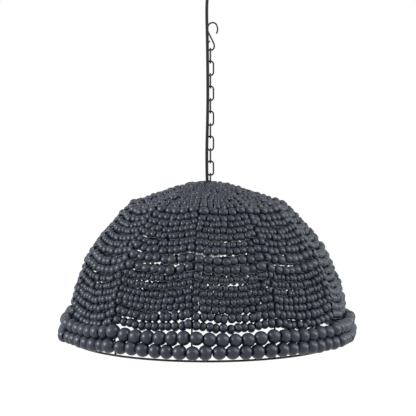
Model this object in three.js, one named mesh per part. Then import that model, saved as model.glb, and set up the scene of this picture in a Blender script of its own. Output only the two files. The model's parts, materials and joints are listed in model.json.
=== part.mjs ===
// A beaded dome light on an S-hook and eleven chain links, with its supply cord beside the chain.
// Millimetres, +Z up. The origin is the middle of the mounting bar's upper face, flat on the ceiling.
// Right of the view is +X and the back is +Y. Heights named ...Up are measured from the bottom ring's plane.

import * as THREE from 'three';

// Clearance between pieces that touch
const gap = 0.3;

// Wire chain and S-hook
const linkCount = 11;
const linkWire = 4;
const linkLength = 39;
const linkWidth = 19;
const hookWire = 4;
const hookRise = 67.5;
const hookDrop = 115;
const chainX = 8;
const chainY = 7;

// Bead dome: a ring, ribs of one curve, and a strand of beads laced between each two ribs
const ribCount = 11;
const firstRibTurn = -5.8;
const ringRadius = 335;
const ringRod = 5;
const ribRod = 4.4;
const domeHeight = 384;
const ribTopDrop = 6;
const bulge = { out: 356, up: 165 };
const shoulder = { out: 225, up: 366 };

// Bead diameters
const largeBead = 30.4;
const mediumBead = 20.5;
const middlingBead = 17.5;
const roundBead = 16.5;
const smallBead = 14;
const fineBead = 11.5;
const largeBeadsPerPanel = 7;
const largeBeadNeckShare = 0.28;

// Crown: an open collar with a plate that holds the chain's eye, the stem and the cord's bushing
const collarRadius = 24;
const collarWall = 1.8;
const crownDepth = 29;
const crownPlate = 3;
const eyeRise = 18.8;
const eyeWire = 3.2;
const eyeBore = 5;
const eyeNutRadius = 3.6;
const stemRadius = 5;
const stemBore = 3.4;
const stemLength = 30;
const nutRadius = 7.6;
const nutHeight = 4;
const bushingRadius = 4.8;
const bushingHeight = 8;

// Lamp holder and bulb
const leadRadius = 2.7;
const capRadius = 20;
const capHeight = 22;
const capWall = 2;
const holderLength = 40;
const holderBore = 13.8;
const contactRadius = 6;
const contactThickness = 2;
const bulbCapRadius = 13.2;
const bulbCapLength = 25;
const bulbTipRadius = 5;
const bulbTipHeight = 3;
const bulbRadius = 40;
const bulbNeck = 18;
const glassWall = 1.2;

// Supply cord and ceiling fitting
const cordDiameter = 7.6;
const barClearance = 3.3;
const barWidth = 16;
const barThickness = 3;
const barHole = 2.4;
const barHoleInset = 11;
const canopyRadius = 45;
const canopyDepth = 26;
const canopyWall = 1.6;
const nippleLength = 28;
const gripLength = 14;
const gripRadius = 8;
const gripNose = 5;

// Rows of beads: how far up the rib each lies, as a share of its length, and the bead's diameter
const rowShares = [
  [0.049, largeBead], [0.101, largeBead],
  [0.150, roundBead], [0.186, roundBead], [0.222, smallBead], [0.252, smallBead],
  [0.285, fineBead], [0.315, fineBead], [0.349, fineBead],
  [0.384, mediumBead], [0.430, mediumBead], [0.473, middlingBead],
  [0.505, smallBead], [0.545, smallBead], [0.577, smallBead], [0.610, smallBead],
  [0.645, middlingBead], [0.689, mediumBead], [0.727, middlingBead],
  [0.760, smallBead], [0.788, smallBead], [0.816, smallBead],
  [0.844, smallBead], [0.872, smallBead], [0.900, smallBead],
  [0.928, smallBead], [0.956, smallBead], [0.984, smallBead],
];

// How far the rows of large beads stand off the ribs, as shares of a large bead
const standOffShares = [0.72, 0.49];

// How far each panel's rows sag at their middle, as a share of the row's width, from the first rib on
const sagShares = [0.054, 0.064, 0.090, 0.084, 0.064, 0.056, 0.060, 0.070, 0.090, 0.100, 0.066];
const largeSagShares = [0.008, 0.036];

// How far each panel's rows lie above the first panel's half way up, as a share of the rib's length
const riseShares = [0, -0.006, 0.004, 0.009, -0.004, 0.006, 0.005, -0.003, 0.008, -0.006, 0.005];

// How far each row is drawn in towards the straight line between its ribs, and its form at its ends
const chordShare = 0.5;
const largeChordShare = 0.3;
const shortRowShare = 0.26;
const rowEndShare = 0.9;
const crownRows = 3;
const middleShare = 0.5;

// Centre line of the S-hook, across and up from the middle of its lower bend, as shares of hookRise
const hookShares = [
  [0.216, 0.600], [0.252, 0.696], [0.255, 0.824], [0.196, 0.952], [0.077, 1.000], [-0.044, 0.947],
  [-0.101, 0.816], [-0.083, 0.672], [0.007, 0.480], [0.104, 0.285], [0.142, 0.156], [0.101, 0.044],
  [0, 0], [-0.086, 0.047], [-0.110, 0.156], [-0.083, 0.267], [-0.024, 0.344],
];

// The cord's route: how far down it lies, as a share of its drop, and its offset to the right and back
const cordRoute = [
  [0, 0, 0], [0.02, 0, 0], [0.06, -0.9, 0], [0.12, -0.9, -0.1], [0.20, -0.1, -0.3], [0.28, 0.6, -0.4],
  [0.36, 1.1, -0.5], [0.44, 1.4, -0.6], [0.52, 1.5, -0.6], [0.60, 1.1, -0.5], [0.68, 0.4, -0.4],
  [0.76, -0.6, -0.3], [0.83, -1.0, -0.2], [0.90, -0.8, -0.1], [0.95, -0.2, 0], [0.98, 0, 0], [1, 0, 0],
];

// Faces round a rod, a turned piece and a nut
const rodSides = 5;
const turnedSides = 14;
const nutSides = 6;
const mitreShare = Math.SQRT1_2;

const light = new THREE.Group();
const shade = new THREE.Group();
light.add(shade);

const beadPaint = new THREE.MeshStandardMaterial({ color: 0x42464e, roughness: 0.6, metalness: 0 });
const blackPaint = new THREE.MeshStandardMaterial({ color: 0x24252a, roughness: 0.5, metalness: 0.3 });
const cordCover = new THREE.MeshStandardMaterial({ color: 0x1c1d21, roughness: 0.7, metalness: 0 });
const brass = new THREE.MeshStandardMaterial({ color: 0xa98a4e, roughness: 0.4, metalness: 0.9 });
const frosted = new THREE.MeshStandardMaterial({ color: 0xf2f0ea, roughness: 0.3, metalness: 0 });

function piece(parent, name, geometry, material) {
  const mesh = new THREE.Mesh(geometry, material);
  mesh.name = name;
  parent.add(mesh);
  return mesh;
}

const numbered = (name, n) => name + '_' + String(n + 1).padStart(2, '0');

// A tube through rings of { at, thick, wide, outward }: half its size along outward is thick, across it wide
function tube(rings, sides, closed = false) {
  const count = rings.length;
  const positions = [];
  rings.forEach((ring, i) => {
    const before = rings[closed ? (i + count - 1) % count : Math.max(i - 1, 0)].at;
    const after = rings[closed ? (i + 1) % count : Math.min(i + 1, count - 1)].at;
    const into = ring.at.clone().sub(before).normalize();
    const onwards = after.clone().sub(ring.at).normalize();
    const along = into.clone().add(onwards).normalize();
    const across = ring.outward.clone().cross(along).normalize();
    const out = along.clone().cross(across);
    // a bend is mitred, so that the tube keeps its width round it
    const mitre = 1 / Math.max(into.length() ? along.dot(into) : 1, mitreShare);
    for (let k = 0; k < sides; k++) {
      const turn = (2 * Math.PI * k) / sides;
      const point = ring.at.clone()
        .addScaledVector(out, ring.thick * Math.cos(turn))
        .addScaledVector(across, ring.wide * mitre * Math.sin(turn));
      positions.push(point.x, point.y, point.z);
    }
  });
  const faces = [];
  const spans = closed ? count : count - 1;
  for (let i = 0; i < spans; i++) {
    for (let k = 0; k < sides; k++) {
      const a = i * sides + k;
      const b = i * sides + ((k + 1) % sides);
      const c = ((i + 1) % count) * sides + k;
      const d = ((i + 1) % count) * sides + ((k + 1) % sides);
      faces.push(a, c, b, b, c, d);
    }
  }
  if (!closed) {
    const last = (count - 1) * sides;
    for (let k = 1; k < sides - 1; k++) {
      faces.push(0, k, k + 1);
      faces.push(last, last + k + 1, last + k);
    }
  }
  const geometry = new THREE.BufferGeometry();
  geometry.setAttribute('position', new THREE.Float32BufferAttribute(positions, 3));
  geometry.setIndex(faces);
  geometry.computeVertexNormals();
  return geometry;
}

const round = (at, radius, outward) => ({ at, thick: radius, wide: radius, outward });

// A turned piece about +Z, from its profile of radius and height, anticlockwise with the axis on the left
function turned(profile, sides = turnedSides) {
  const geometry = new THREE.LatheGeometry(profile.map(([r, z]) => new THREE.Vector2(r, z)), sides);
  return geometry.rotateX(Math.PI / 2);
}

// A short pipe: a ring between two radii that stands from low to high
function pipe(inner, outer, low, high, sides = turnedSides) {
  return turned([[inner, low], [outer, low], [outer, high], [inner, high], [inner, low]], sides);
}

function nut(bore, radius, low) {
  const outline = new THREE.Shape();
  for (let i = 0; i < nutSides; i++) {
    const turn = (2 * Math.PI * i) / nutSides;
    const x = radius * Math.cos(turn);
    const y = radius * Math.sin(turn);
    if (i) outline.lineTo(x, y);
    else outline.moveTo(x, y);
  }
  outline.closePath();
  outline.holes.push(new THREE.Path().absarc(0, 0, bore, 0, 2 * Math.PI, true));
  const options = { depth: nutHeight, bevelEnabled: false, curveSegments: nutSides };
  return new THREE.ExtrudeGeometry(outline, options).translate(0, 0, low);
}

function disc(radius, low, high, sides = turnedSides) {
  return turned([[0, low], [radius, low], [radius, high], [0, high]], sides);
}

// Heights of the hook, the links and the dome, from the top down
const hookBottom = -hookDrop - hookRise + hookWire / 2;
const linkInset = linkWire + gap;
const linkPitch = linkLength - linkWire - linkInset;
const firstLinkTop = hookBottom + (hookWire + linkWire) / 2 + gap;
const lastLinkBottom = firstLinkTop - (linkLength - linkWire) - (linkCount - 1) * linkPitch;
const eyeTop = lastLinkBottom + (linkWire + eyeWire) / 2 + gap;
const plateTopUp = domeHeight - crownDepth;
const ringZ = eyeTop - plateTopUp - eyeRise;
shade.position.z = ringZ;

// S-hook: bent wire in the plane of the view
function hook() {
  const points = hookShares.map(([across, up]) => new THREE.Vector3(across * hookRise, 0, up * hookRise));
  const curve = new THREE.CatmullRomCurve3(points);
  const back = new THREE.Vector3(0, 1, 0);
  const rings = curve.getPoints(2 * (points.length - 1)).map((at) => round(at, hookWire / 2, back));
  const mesh = piece(light, 's_hook', tube(rings, rodSides + 1), blackPaint);
  mesh.position.set(chainX, chainY, hookBottom);
}

// A chain link: two half circles and two straight sides, closed on itself
function linkShape() {
  const bend = (linkWidth - linkWire) / 2;
  const straight = (linkLength - linkWidth) / 2;
  const steps = 6;
  const back = new THREE.Vector3(0, 1, 0);
  const rings = [];
  for (const side of [1, -1]) {
    for (let i = 0; i <= steps; i++) {
      const turn = (Math.PI * i) / steps;
      const up = side * (straight + bend * Math.sin(turn));
      rings.push(round(new THREE.Vector3(side * bend * Math.cos(turn), 0, up), linkWire / 2, back));
    }
  }
  return tube(rings, rodSides, true);
}

function chain() {
  for (let n = 0; n < linkCount; n++) {
    const link = piece(light, numbered('chain_link', n), linkShape(), blackPaint);
    link.position.set(chainX, chainY, firstLinkTop - (linkLength - linkWire) / 2 - n * linkPitch);
    // the first link stands edge on to the view, the next face on, and so on
    link.rotation.z = n % 2 === 0 ? Math.PI / 2 : 0;
  }
}

// The rib's curve: one cubic from the ring to the collar, bulging out over the ring
const ribCurve = new THREE.CubicBezierCurve3(
  new THREE.Vector3(ringRadius, 0, 0),
  new THREE.Vector3(bulge.out, 0, bulge.up),
  new THREE.Vector3(shoulder.out, 0, shoulder.up),
  new THREE.Vector3(collarRadius + gap, 0, domeHeight - ribTopDrop),
);
const ribLength = ribCurve.getLength();
const panelTurn = (2 * Math.PI) / ribCount;
const ribTurn = (n) => THREE.MathUtils.degToRad(firstRibTurn) + n * panelTurn;

// A point of the dome: how far round from the front, and how far up the rib, standing off the rib's curve
function domePoint(turn, share, standOff = 0, radiusShare = 1) {
  const at = ribCurve.getPointAt(share);
  const along = ribCurve.getTangentAt(share);
  const radius = (at.x + standOff * along.z) * radiusShare;
  const up = at.z - standOff * along.x;
  return new THREE.Vector3(radius * Math.sin(turn), -radius * Math.cos(turn), up);
}

function domeOutward(turn, share) {
  const along = ribCurve.getTangentAt(share);
  return new THREE.Vector3(along.z * Math.sin(turn), -along.z * Math.cos(turn), -along.x);
}

function frame() {
  const up = new THREE.Vector3(0, 0, 1);
  const ringSteps = 4 * ribCount;
  const ringRings = [];
  for (let i = 0; i < ringSteps; i++) {
    const turn = ribTurn(0) + (2 * Math.PI * i) / ringSteps;
    const at = new THREE.Vector3(ringRadius * Math.sin(turn), -ringRadius * Math.cos(turn), 0);
    ringRings.push(round(at, ringRod / 2, up));
  }
  piece(shade, 'bottom_ring', tube(ringRings, rodSides, true), blackPaint);

  // each rib stands on the ring and ends against the collar
  const ribSteps = 10;
  for (let n = 0; n < ribCount; n++) {
    const turn = ribTurn(n);
    const side = new THREE.Vector3(Math.cos(turn), Math.sin(turn), 0);
    const rings = [];
    for (let i = 0; i <= ribSteps; i++) {
      const share = Math.max(i / ribSteps, (ringRod / 2 + gap) / ribLength);
      rings.push(round(domePoint(turn, share), ribRod / 2, side));
    }
    piece(shade, numbered('rib', n), tube(rings, rodSides), blackPaint);
  }
}

// One row of a panel, seen from the front: its points from the left rib to the right one
function rowPoint(panel, row, across) {
  const [rowShare, bead] = rowShares[row];
  const large = bead === largeBead;
  const share = rowShare + riseShares[panel] * Math.sin(Math.PI * rowShare);
  const width = 2 * ribCurve.getPointAt(share).x * Math.sin(panelTurn / 2);
  const sag = (large ? largeSagShares[row] : sagShares[panel]) * width;
  const lower = share - (4 * sag * across * (1 - across)) / ribLength;
  const turn = ribTurn(panel) + across * panelTurn;
  const straight = Math.cos(panelTurn / 2) / Math.cos((across - middleShare) * panelTurn);
  const inward = (large ? largeChordShare : chordShare) * (1 - straight);
  const standOff = large ? largeBead * standOffShares[row] : 0;
  return { at: domePoint(turn, lower, standOff, 1 - inward), outward: domeOutward(turn, lower) };
}

// The strand's stops along a row: how far across the panel each lies, and the strand's half size there
function rowStops(row, width) {
  const bead = rowShares[row][1];
  const large = bead === largeBead;
  const half = (bead * (large ? largeBeadNeckShare : rowEndShare)) / 2;
  const inset = (ribRod / 2 + gap + half) / width;
  const stops = [];
  if (large) {
    for (let i = 1; i < 2 * largeBeadsPerPanel; i++) {
      stops.push([i / (2 * largeBeadsPerPanel), i % 2 ? bead / 2 : half]);
    }
  } else if (width >= shortRowShare * ringRadius || row >= rowShares.length - crownRows) {
    stops.push([middleShare, bead / 2]);
  }
  if (row >= rowShares.length - crownRows) return stops;
  return [[inset, half], ...stops, [1 - inset, half]];
}

// A panel's strand: its rows run to and fro between two ribs and turn beside them, from ring to crown
function strand(panel) {
  const rings = [];
  rowShares.forEach(([share, bead], row) => {
    const width = ribCurve.getPointAt(share).x * panelTurn;
    // a crown row is too short to turn in, so the strand fills its width instead
    const crownWide = Math.max(width / 2 - ribRod / 2 - gap, bead / 2) * Math.cos(panelTurn / 2);
    const stops = rowStops(row, width);
    if (row % 2) stops.reverse();
    for (const [across, size] of stops) {
      const { at, outward } = rowPoint(panel, row, across);
      rings.push({ at, thick: size, wide: stops.length > 1 ? size : crownWide, outward });
    }
  });
  return tube(rings, rodSides);
}

function beads() {
  for (let n = 0; n < ribCount; n++) {
    piece(shade, numbered('bead_panel', n), strand(n), beadPaint);
  }
}

// Crown: collar, plate, eye for the last link, and what comes through the plate
function crown() {
  const plateLow = plateTopUp - crownPlate;
  const inside = collarRadius - collarWall;
  const sides = 2 * turnedSides;
  const collar = pipe(inside, collarRadius, plateLow, domeHeight + ribRod / 2, sides);
  piece(shade, 'crown_collar', collar, blackPaint);

  const plateRadius = inside * Math.cos(Math.PI / sides) - gap;
  const outline = new THREE.Shape().absarc(0, 0, plateRadius, 0, 2 * Math.PI, false);
  for (const [x, y, radius] of [[0, 0, stemRadius + gap], [chainX, chainY, eyeWire / 2 + gap]]) {
    outline.holes.push(new THREE.Path().absarc(x, y, radius, 0, 2 * Math.PI, true));
  }
  const plateForm = { depth: crownPlate, bevelEnabled: false, curveSegments: 8 };
  const plate = new THREE.ExtrudeGeometry(outline, plateForm);
  piece(shade, 'crown_plate', plate, blackPaint).position.z = plateLow;

  // the eye is one bent wire: its shank rises through the plate and turns once round
  const turnRadius = eyeBore + eyeWire / 2;
  const eyeCentre = eyeTop - ringZ - turnRadius;
  const back = new THREE.Vector3(0, 1, 0);
  const rings = [];
  const shankLow = plateLow - nutHeight - gap - eyeWire / 2;
  rings.push(round(new THREE.Vector3(0, 0, shankLow), eyeWire / 2, back));
  const steps = 12;
  for (let i = 0; i < steps; i++) {
    const turn = -Math.PI / 2 + (2 * Math.PI * i) / steps;
    const at = new THREE.Vector3(turnRadius * Math.cos(turn), 0, eyeCentre + turnRadius * Math.sin(turn));
    rings.push(round(at, eyeWire / 2, back));
  }
  const eye = piece(shade, 'chain_eye', tube(rings, rodSides), blackPaint);
  eye.position.set(chainX, chainY, 0);

  const lockLow = plateLow - gap - nutHeight;
  const eyeNut = nut(eyeWire / 2 + gap, eyeNutRadius, lockLow);
  piece(shade, 'chain_eye_nut', eyeNut, blackPaint).position.set(chainX, chainY, 0);

  const stemTop = plateTopUp + nutHeight + 2 * gap;
  const bore = stemRadius + gap;
  piece(shade, 'lamp_stem', pipe(stemBore, stemRadius, stemTop - stemLength, stemTop), blackPaint);
  piece(shade, 'crown_nut', nut(bore, nutRadius, plateTopUp + gap), blackPaint);
  piece(shade, 'crown_lock_nut', nut(bore, nutRadius, lockLow), blackPaint);

  const bushingLow = stemTop + gap;
  const bushingTop = bushingLow + bushingHeight;
  const bushing = turned([
    [0, bushingLow], [bushingRadius, bushingLow], [bushingRadius, bushingTop - gap],
    [cordDiameter / 2 + gap, bushingTop], [0, bushingTop],
  ]);
  piece(shade, 'cord_bushing', bushing, cordCover);
  return { stemTop, bushingTop };
}

// Lamp holder on the stem's lower end, and the bulb in it
function lamp(stemTop) {
  const stemLow = stemTop - stemLength;
  const bore = stemRadius + gap;
  const nutTop = stemLow + nutHeight + 2 * gap;
  const capTop = nutTop + gap + capWall;
  const capLow = capTop - capHeight;
  const inside = capRadius - capWall;
  const waist = (capRadius + stemRadius) / 2;
  piece(shade, 'holder_cap', turned([
    [bore, capTop], [bore, capTop - capWall], [waist, capTop - capWall], [inside, capTop - capHeight / 2],
    [inside, capLow], [capRadius, capLow], [capRadius, capTop - capHeight / 2],
    [waist, capTop], [bore, capTop],
  ]), cordCover);
  piece(shade, 'holder_nut', nut(bore, nutRadius, nutTop - nutHeight), brass);

  const holderTop = capLow - gap;
  const holderLow = holderTop - holderLength;
  const floor = holderTop - 2 * capWall;
  piece(shade, 'lamp_holder', turned([
    [leadRadius + gap, floor], [holderBore, floor], [holderBore, holderLow], [capRadius, holderLow],
    [capRadius, holderTop], [leadRadius + gap, holderTop], [leadRadius + gap, floor],
  ]), cordCover);
  piece(shade, 'lamp_lead', disc(leadRadius, floor, stemTop - gap), cordCover);
  const contactLow = floor - gap - contactThickness;
  piece(shade, 'holder_contact', disc(contactRadius, contactLow, floor - gap), brass);

  const tipTop = contactLow - gap;
  const capBase = tipTop - bulbTipHeight;
  const glassTop = capBase - bulbCapLength;
  const ridge = (holderBore - bulbCapRadius) / 2;
  const profile = [[0, glassTop + gap], [bulbCapRadius, glassTop + gap]];
  const threads = 5;
  const pitch = bulbCapLength / (threads + 1);
  for (let i = 0; i < threads; i++) {
    const low = glassTop + gap + i * pitch;
    profile.push([bulbCapRadius, low + pitch / 4], [bulbCapRadius - ridge, low + (3 * pitch) / 4]);
  }
  profile.push([bulbTipRadius, capBase], [bulbTipRadius, tipTop], [0, tipTop]);
  piece(shade, 'bulb_cap', turned(profile), brass);

  // the glass is a thin globe, open at its neck, where the cap holds it
  const globe = (radius, neck) => {
    const steps = 7;
    const open = Math.asin(bulbCapRadius / bulbRadius);
    const centre = glassTop - bulbNeck - bulbRadius * Math.cos(open);
    const points = [];
    for (let i = 0; i <= steps; i++) {
      const turn = ((Math.PI - open) * i) / steps;
      points.push([radius * Math.sin(turn), centre - radius * Math.cos(turn)]);
    }
    return [...points, [neck, glassTop - bulbNeck / 3], [neck, glassTop]];
  };
  const outer = globe(bulbRadius, bulbCapRadius);
  const inner = globe(bulbRadius - glassWall, bulbCapRadius - glassWall);
  piece(shade, 'bulb_glass', turned([...outer, ...inner.reverse()]), frosted);
}

// Ceiling fitting: a bar screwed to the ceiling, a nipple that carries the canopy, and the cord's grip
function ceilingFitting() {
  // the bar's corners keep their clearance to the canopy's wall
  const sides = 2 * turnedSides;
  const inside = (canopyRadius - canopyWall) * Math.cos(Math.PI / sides);
  const outline = new THREE.Shape();
  const y = barWidth / 2;
  const x = Math.sqrt((inside - barClearance) ** 2 - y ** 2);
  outline.moveTo(-x, -y).lineTo(x, -y).lineTo(x, y).lineTo(-x, y).lineTo(-x, -y);
  for (const side of [-1, 1]) {
    const hole = new THREE.Path().absarc(side * (x - barHoleInset), 0, barHole, 0, 2 * Math.PI, true);
    outline.holes.push(hole);
  }
  const barForm = { depth: barThickness, bevelEnabled: false, curveSegments: 6 };
  const bar = new THREE.ExtrudeGeometry(outline, barForm);
  piece(light, 'mounting_bar', bar, blackPaint).position.z = -barThickness;

  const nippleTop = -barThickness - gap;
  const nippleLow = nippleTop - nippleLength;
  piece(light, 'canopy_nipple', pipe(stemBore, stemRadius, nippleLow, nippleTop), blackPaint);

  const bore = stemRadius + gap;
  const edge = canopyWall * 2;
  piece(light, 'ceiling_canopy', turned([
    [bore, -canopyDepth], [canopyRadius - edge, -canopyDepth], [canopyRadius, edge - canopyDepth],
    [canopyRadius, 0], [canopyRadius - canopyWall, 0], [canopyRadius - canopyWall, edge - canopyDepth],
    [canopyRadius - edge, canopyWall - canopyDepth], [bore, canopyWall - canopyDepth], [bore, -canopyDepth],
  ], sides), blackPaint);
  const nutTop = -canopyDepth - gap;
  piece(light, 'canopy_nut', nut(bore, nutRadius, nutTop - nutHeight), blackPaint);

  const gripTop = nippleLow - gap;
  const gripLow = gripTop - gripLength;
  piece(light, 'canopy_cord_grip', turned([
    [0, gripLow], [gripNose, gripLow], [gripRadius, gripTop - gripLength / 2],
    [gripRadius, gripTop], [0, gripTop],
  ]), cordCover);
  return gripLow;
}

function cord(top, bottom) {
  const points = cordRoute.map(([share, x, y]) => new THREE.Vector3(x, y, top + share * (bottom - top)));
  const curve = new THREE.CatmullRomCurve3(points);
  const steps = Math.round(curve.getLength() / (3 * cordDiameter));
  const section = new THREE.Shape().absarc(0, 0, cordDiameter / 2, 0, 2 * Math.PI, false);
  const geometry = new THREE.ExtrudeGeometry(section, { steps, extrudePath: curve, curveSegments: 8 });
  piece(light, 'supply_cord', geometry, cordCover);
}

hook();
chain();
frame();
beads();
const { stemTop, bushingTop } = crown();
lamp(stemTop);
cord(ceilingFitting() - gap, ringZ + bushingTop + gap);

export default light;
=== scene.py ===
import json
import math

import bpy
import numpy as np
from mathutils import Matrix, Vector

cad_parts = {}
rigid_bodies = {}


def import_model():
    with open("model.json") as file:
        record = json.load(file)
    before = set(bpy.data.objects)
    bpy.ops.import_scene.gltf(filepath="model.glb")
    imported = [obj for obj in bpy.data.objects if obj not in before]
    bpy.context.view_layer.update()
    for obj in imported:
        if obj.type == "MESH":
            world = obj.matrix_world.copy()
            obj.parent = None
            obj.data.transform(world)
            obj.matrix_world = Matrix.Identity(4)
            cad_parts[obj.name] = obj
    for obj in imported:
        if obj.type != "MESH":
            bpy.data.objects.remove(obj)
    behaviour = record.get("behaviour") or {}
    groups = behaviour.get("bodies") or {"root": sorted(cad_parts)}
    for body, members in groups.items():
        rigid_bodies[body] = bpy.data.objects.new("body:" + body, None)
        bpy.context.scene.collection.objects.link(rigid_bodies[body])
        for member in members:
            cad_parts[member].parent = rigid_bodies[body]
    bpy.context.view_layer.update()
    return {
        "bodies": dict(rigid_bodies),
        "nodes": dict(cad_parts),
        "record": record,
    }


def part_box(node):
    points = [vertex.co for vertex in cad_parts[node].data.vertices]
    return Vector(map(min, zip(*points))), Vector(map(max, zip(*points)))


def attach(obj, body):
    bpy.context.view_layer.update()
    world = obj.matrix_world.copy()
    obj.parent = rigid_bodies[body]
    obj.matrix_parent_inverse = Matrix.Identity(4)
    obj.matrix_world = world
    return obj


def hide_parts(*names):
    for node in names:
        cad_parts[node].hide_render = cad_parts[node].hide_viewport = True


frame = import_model()
scene = bpy.context.scene
UP = np.array([0.0, 0.0, 1.0])
BACK = np.array([0.0, 1.0, 0.0])
RIGHT = np.array([1.0, 0.0, 0.0])
# The space between solids that meet
GAP = 0.0003

# Chain and S-hook, as in the solids
LINKS = 11
LINK_WIRE = 0.004
LINK_LENGTH = 0.039
LINK_WIDTH = 0.019
LINK_PITCH = LINK_LENGTH - 2 * LINK_WIRE - GAP
HOOK_RISE = 0.0675
CHAIN_X = 0.008
CHAIN_Y = 0.007

# Dome, as in the solids
RIBS = 11
FIRST_RIB = math.radians(-5.8)
PANEL = 2 * math.pi / RIBS
RING_RADIUS = 0.335
RING_ROD = 0.005
RIB_ROD = 0.0044
RING_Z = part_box("bottom_ring")[1].z - RING_ROD / 2
HOOK_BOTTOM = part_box("s_hook")[0].z + LINK_WIRE / 2
DOME_HEIGHT = 0.384
COLLAR_RADIUS = 0.024
RIB_TOP_DROP = 0.006
RIB_HANDLES = [
    (RING_RADIUS, 0), (0.356, 0.165), (0.225, 0.366), (COLLAR_RADIUS + GAP, DOME_HEIGHT - RIB_TOP_DROP),
]

# Camera: the photograph is 416 pixels wide, and one of them is 2.5 mm at the ring's middle
PIXELS = 416
PIXEL = 0.0025
CAMERA_AWAY = 3.131
CAMERA_ABOVE_RING = 0.525
RING_ROW = 336.4
AXIS_COLUMN = 207.2
SENSOR = 36


def add_camera():
    """The camera stands in front of the ring and above its plane, and looks down a little."""
    distance = math.hypot(CAMERA_AWAY, CAMERA_ABOVE_RING)
    data = bpy.data.cameras.new("camera")
    data.sensor_width = SENSOR
    data.lens = SENSOR * distance / PIXEL / PIXELS
    camera = bpy.data.objects.new("camera", data)
    scene.collection.objects.link(camera)
    below_axis = math.atan((RING_ROW - PIXELS / 2) * PIXEL / distance)
    pitch = math.atan(CAMERA_ABOVE_RING / CAMERA_AWAY) - below_axis
    aside = (PIXELS / 2 - AXIS_COLUMN) * PIXEL
    camera.location = (aside, -CAMERA_AWAY, RING_Z + CAMERA_ABOVE_RING)
    camera.rotation_euler = (math.pi / 2 - pitch, 0, 0)
    scene.camera = camera


add_camera()


# Materials

# Noise to the metre on a worn spot's edge, and where its full strength ends and the paint is whole again
SPOT_NOISE = 450
SPOT_CORE = 1.1
SPOT_END = 1.5


def linear(red, green, blue):
    """A colour of 0 to 255 as it looks on a screen, as the shader's own numbers, by the sRGB curve."""
    share = [value / 255 for value in (red, green, blue)]
    return [v / 12.92 if v <= 0.04045 else ((v + 0.055) / 1.055) ** 2.4 for v in share]


def scaled(tree, source, low, high):
    """A value from 0 to 1 in a node tree taken to the span from low to high."""
    made = tree.nodes.new("ShaderNodeMapRange")
    made.inputs["To Min"].default_value = low
    made.inputs["To Max"].default_value = high
    tree.links.new(source, made.inputs["Value"])
    return made.outputs["Result"]


class Surface:
    """A material in the making: a Principled shader, and the nodes that feed it."""

    def __init__(self, name, colour, roughness, metallic=0.0, specular=0.5):
        self.material = bpy.data.materials.new(name)
        self.material.use_nodes = True
        self.tree = self.material.node_tree
        self.shader = self.tree.nodes["Principled BSDF"]
        self.shader.inputs["Base Color"].default_value = (*linear(*colour), 1)
        self.shader.inputs["Roughness"].default_value = roughness
        self.shader.inputs["Metallic"].default_value = metallic
        self.shader.inputs["Specular IOR Level"].default_value = specular
        self.place = self.node("ShaderNodeTexCoord").outputs["Object"]

    def node(self, kind, **settings):
        """A new node of a kind, with its settings made."""
        made = self.tree.nodes.new(kind)
        for key, value in settings.items():
            setattr(made, key, value)
        return made

    def link(self, source, target):
        self.tree.links.new(source, target)

    def noise(self, scale, detail, stretch=(1, 1, 1)):
        """Noise with this many features to the metre, drawn out along an axis by a smaller stretch."""
        mapping = self.node("ShaderNodeMapping")
        mapping.inputs["Scale"].default_value = stretch
        self.link(self.place, mapping.inputs["Vector"])
        made = self.node("ShaderNodeTexNoise")
        made.inputs["Scale"].default_value = scale
        made.inputs["Detail"].default_value = detail
        self.link(mapping.outputs["Vector"], made.inputs["Vector"])
        return made.outputs["Fac"]

    def ramp(self, source, stops):
        """Colours over a value from 0 to 1: stops are (place, colour)."""
        made = self.node("ShaderNodeValToRGB")
        elements = made.color_ramp.elements
        while len(elements) < len(stops):
            elements.new(0.5)
        for element, (place, colour) in zip(elements, stops):
            element.position = place
            element.color = (*linear(*colour), 1)
        self.link(source, made.inputs["Fac"])
        return made.outputs["Color"]

    def spot(self, place, radius, strength):
        """A blot round a place, with a ragged edge: its strength in the middle, and 0 beyond its radius."""
        away = self.node("ShaderNodeVectorMath", operation="DISTANCE")
        away.inputs[1].default_value = place
        self.link(self.place, away.inputs[0])
        ragged = self.node("ShaderNodeMath", operation="MULTIPLY_ADD")
        self.link(self.noise(SPOT_NOISE, 2), ragged.inputs[0])
        ragged.inputs[1].default_value = radius
        self.link(away.outputs["Value"], ragged.inputs[2])
        made = self.node("ShaderNodeMapRange")
        made.inputs["From Min"].default_value = SPOT_END * radius
        made.inputs["From Max"].default_value = SPOT_CORE * radius
        made.inputs["To Max"].default_value = strength
        self.link(ragged.outputs[0], made.inputs["Value"])
        return made.outputs["Result"]

    def mix(self, share, first, second, blend="MIX"):
        """Two colours as one, by a share. Each is a number, a colour or another node's output."""
        made = self.node("ShaderNodeMix", data_type="RGBA", blend_type=blend)
        for socket, value in zip((made.inputs[0], made.inputs[6], made.inputs[7]), (share, first, second)):
            if isinstance(value, (int, float)):
                socket.default_value = value
            elif isinstance(value, (list, tuple)):
                socket.default_value = (*value, 1)
            else:
                self.link(value, socket)
        return made.outputs[2]

    def bump(self, height, strength, distance):
        """The surface is raised by a height from 0 to 1, up to a distance."""
        made = self.node("ShaderNodeBump")
        made.inputs["Strength"].default_value = strength
        made.inputs["Distance"].default_value = distance
        self.link(height, made.inputs["Height"])
        self.link(made.outputs["Normal"], self.shader.inputs["Normal"])

    def colour_from(self, source):
        self.link(source, self.shader.inputs["Base Color"])

    def roughness_from(self, source, low, high):
        self.link(scaled(self.tree, source, low, high), self.shader.inputs["Roughness"])


# Where the paint is worn through to the wood: place, radius, and how bare it is there
WORN = [
    ((-0.034, -0.099, RING_Z + 0.365), 0.0055, 1.0),
    ((-0.082, -0.188, RING_Z + 0.304), 0.006, 0.35),
]
BARE_WOOD = (196, 166, 122)
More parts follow.
